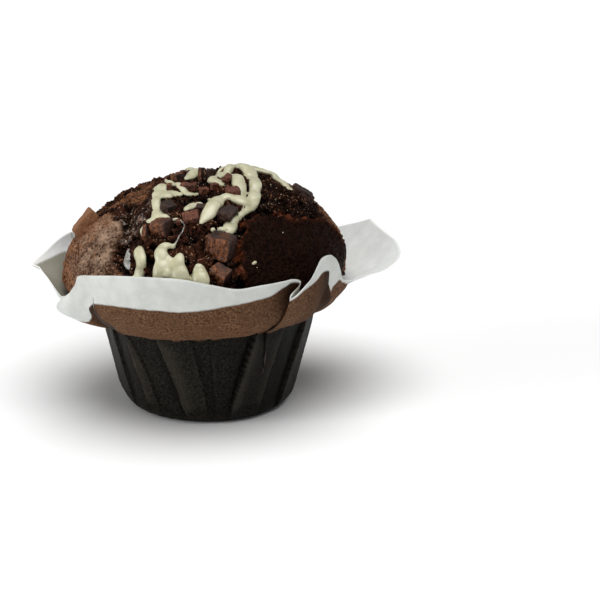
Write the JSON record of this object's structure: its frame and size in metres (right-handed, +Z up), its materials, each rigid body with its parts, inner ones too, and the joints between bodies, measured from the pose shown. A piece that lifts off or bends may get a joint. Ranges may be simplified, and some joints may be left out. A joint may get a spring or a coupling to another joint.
{
  "type": "chocolate muffin in a paper case",
  "caption": "Domed chocolate muffin with broken chocolate pieces and white icing runs, baked in a pleated paper cup with a flared, folded collar.",
  "frame": {"origin": "centre of the paper case's flat base, on the surface it stands on", "axes": "+Z up through the muffin's crown, -Y to the front, +X to the right, towards the collar's wide leaf"},
  "size_m": [0.1199, 0.1042, 0.0783],
  "materials": {
    "paper": "matte baking paper, white above a dry brown band, dark and grease-soaked on the cup",
    "crumb": "dark baked chocolate crumb, rough and open with smoother satin crust plates",
    "chocolate": "broken milk and dark chocolate, satin with dusty broken faces",
    "icing": "set white icing, ivory, smooth and softly glossy"
  },
  "bodies": {
    "root": {"chunk_back_left": "chocolate", "chunk_back_low": "chocolate", "chunk_back_right": "chocolate", "chunk_centre": "chocolate", "chunk_dark_upper": "chocolate", "chunk_front_large": "chocolate", "chunk_front_left": "chocolate", "chunk_front_left_slab": "chocolate", "chunk_front_low": "chocolate", "chunk_left_edge": "chocolate", "chunk_right_dark": "chocolate", "chunk_right_edge": "chocolate", "chunk_top_back": "chocolate", "chunk_top_left": "chocolate", "chunk_top_right": "chocolate", "icing_back": "icing", "icing_centre_thread": "icing", "icing_chip": "icing", "icing_crown": "icing", "icing_front": "icing", "icing_front_left": "icing", "icing_left": "icing", "icing_left_diagonal": "icing", "icing_top": "icing", "muffin_crumb": "crumb", "paper_case": "paper", "shard_back_centre": "chocolate", "shard_back_right": "chocolate", "shard_centre_dark": "chocolate", "shard_left_cap": "chocolate", "shard_left_chip": "chocolate", "shard_right_curl": "chocolate", "shard_top_curl": "chocolate", "shard_top_flat": "chocolate", "shard_top_small": "chocolate", "shard_top_upright": "chocolate"}
  },
  "joints": []
}
